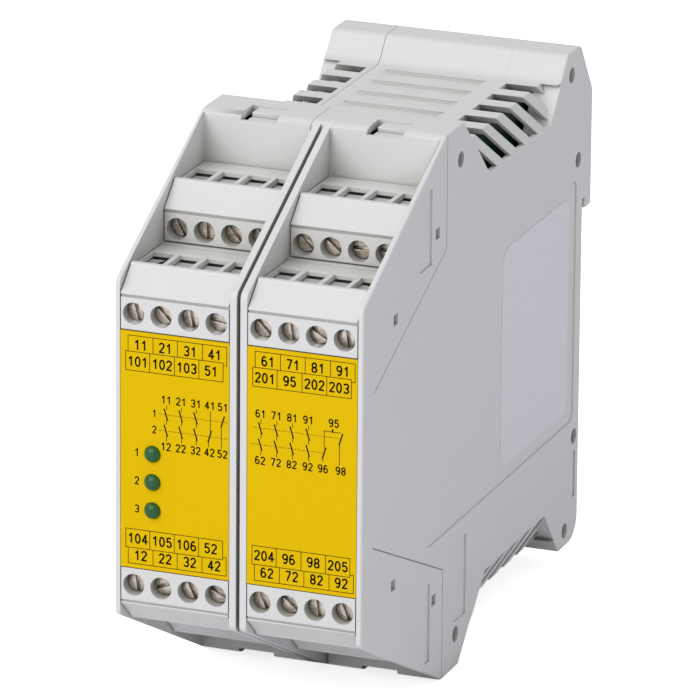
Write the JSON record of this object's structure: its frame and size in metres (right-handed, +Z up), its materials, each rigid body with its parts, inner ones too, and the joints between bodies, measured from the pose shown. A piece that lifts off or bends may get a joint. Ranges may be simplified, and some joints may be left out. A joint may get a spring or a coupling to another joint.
{
  "type": "safety relay",
  "caption": "Light grey electronics housing for a 35 mm rail, with pull-off screw-terminal plugs, yellow front labels, green indicator lights and a vented back.",
  "frame": {"origin": "centre of the rail seat: middle of the width and of the height, on the plane that the rail's flanges lie against", "axes": "+X to the right seen from the front, +Y from the front towards the rail, +Z up"},
  "size_m": [0.045, 0.1156, 0.099],
  "materials": {
    "housing_plastic": "fine-grained moulding, light grey",
    "plate_plastic": "light grey moulding behind the labels",
    "label_print": "yellow printed film",
    "light_lens": "green tinted lens",
    "terminal_plastic": "light grey-green moulding",
    "screw_nickel": "plated steel, satin",
    "cage_steel": "plated steel",
    "header_plastic": "dark moulding",
    "pin_metal": "tinned brass",
    "board_laminate": "green circuit board",
    "relay_case": "dark moulded case",
    "capacitor_can": "drawn can",
    "converter_case": "dark moulded case",
    "foot_plastic": "grey moulding",
    "spring_steel": "strip steel",
    "sticker_film": "bare silver-grey film"
  },
  "bodies": {
    "housing": {"board_link": "board_laminate", "capacitors": "capacitor_can", "circuit_board_left": "board_laminate", "circuit_board_right": "board_laminate", "foot_spring": "spring_steel", "front_plate_left": "plate_plastic", "front_plate_right": "plate_plastic", "header_pins_left_bottom": "pin_metal", "header_pins_left_top": "pin_metal", "header_pins_right_bottom": "pin_metal", "header_pins_right_top": "pin_metal", "housing_left_shell": "housing_plastic", "housing_middle_frame": "housing_plastic", "housing_right_shell": "housing_plastic", "indicator_light_channel_one": "light_lens", "indicator_light_channel_two": "light_lens", "indicator_light_power": "light_lens", "label_left": "label_print", "label_right": "label_print", "pin_header_left_bottom_front": "header_plastic", "pin_header_left_bottom_rear": "header_plastic", "pin_header_left_top_front": "header_plastic", "pin_header_left_top_rear": "header_plastic", "pin_header_right_bottom_front": "header_plastic", "pin_header_right_bottom_rear": "header_plastic", "pin_header_right_top_front": "header_plastic", "pin_header_right_top_rear": "header_plastic", "power_converter": "converter_case", "relays_left": "relay_case", "relays_right": "relay_case", "side_sticker": "sticker_film"},
    "plug_left_top_front": {"terminal_plug_left_top_front": "terminal_plastic", "clamp_screws_left_top_front": "screw_nickel", "clamp_cages_left_top_front": "cage_steel"},
    "plug_left_top_rear": {"terminal_plug_left_top_rear": "terminal_plastic", "clamp_screws_left_top_rear": "screw_nickel", "clamp_cages_left_top_rear": "cage_steel"},
    "plug_left_bottom_front": {"terminal_plug_left_bottom_front": "terminal_plastic", "clamp_screws_left_bottom_front": "screw_nickel", "clamp_cages_left_bottom_front": "cage_steel"},
    "plug_left_bottom_rear": {"terminal_plug_left_bottom_rear": "terminal_plastic", "clamp_screws_left_bottom_rear": "screw_nickel", "clamp_cages_left_bottom_rear": "cage_steel"},
    "plug_right_top_front": {"terminal_plug_right_top_front": "terminal_plastic", "clamp_screws_right_top_front": "screw_nickel", "clamp_cages_right_top_front": "cage_steel"},
    "plug_right_top_rear": {"terminal_plug_right_top_rear": "terminal_plastic", "clamp_screws_right_top_rear": "screw_nickel", "clamp_cages_right_top_rear": "cage_steel"},
    "plug_right_bottom_front": {"terminal_plug_right_bottom_front": "terminal_plastic", "clamp_screws_right_bottom_front": "screw_nickel", "clamp_cages_right_bottom_front": "cage_steel"},
    "plug_right_bottom_rear": {"terminal_plug_right_bottom_rear": "terminal_plastic", "clamp_screws_right_bottom_rear": "screw_nickel", "clamp_cages_right_bottom_rear": "cage_steel"},
    "foot": {"rail_foot": "foot_plastic"}
  },
  "joints": [
    {"name": "rail_foot_slide", "type": "slide", "parent": "housing", "child": "foot", "axis": [0, 0, -1], "range_m": [0, 0.004], "stiffness_N_per_m": 1500, "springref_m": -0.002, "deforming": ["foot_spring"]},
    {"name": "plug_left_top_front_pull", "type": "slide", "parent": "housing", "child": "plug_left_top_front", "axis": [0, -1, 0], "range_m": [0, 0.01]},
    {"name": "plug_left_top_rear_pull", "type": "slide", "parent": "housing", "child": "plug_left_top_rear", "axis": [0, -1, 0], "range_m": [0, 0.01]},
    {"name": "plug_left_bottom_front_pull", "type": "slide", "parent": "housing", "child": "plug_left_bottom_front", "axis": [0, -1, 0], "range_m": [0, 0.01]},
    {"name": "plug_left_bottom_rear_pull", "type": "slide", "parent": "housing", "child": "plug_left_bottom_rear", "axis": [0, -1, 0], "range_m": [0, 0.01]},
    {"name": "plug_right_top_front_pull", "type": "slide", "parent": "housing", "child": "plug_right_top_front", "axis": [0, -1, 0], "range_m": [0, 0.01]},
    {"name": "plug_right_top_rear_pull", "type": "slide", "parent": "housing", "child": "plug_right_top_rear", "axis": [0, -1, 0], "range_m": [0, 0.01]},
    {"name": "plug_right_bottom_front_pull", "type": "slide", "parent": "housing", "child": "plug_right_bottom_front", "axis": [0, -1, 0], "range_m": [0, 0.01]},
    {"name": "plug_right_bottom_rear_pull", "type": "slide", "parent": "housing", "child": "plug_right_bottom_rear", "axis": [0, -1, 0], "range_m": [0, 0.01]}
  ]
}
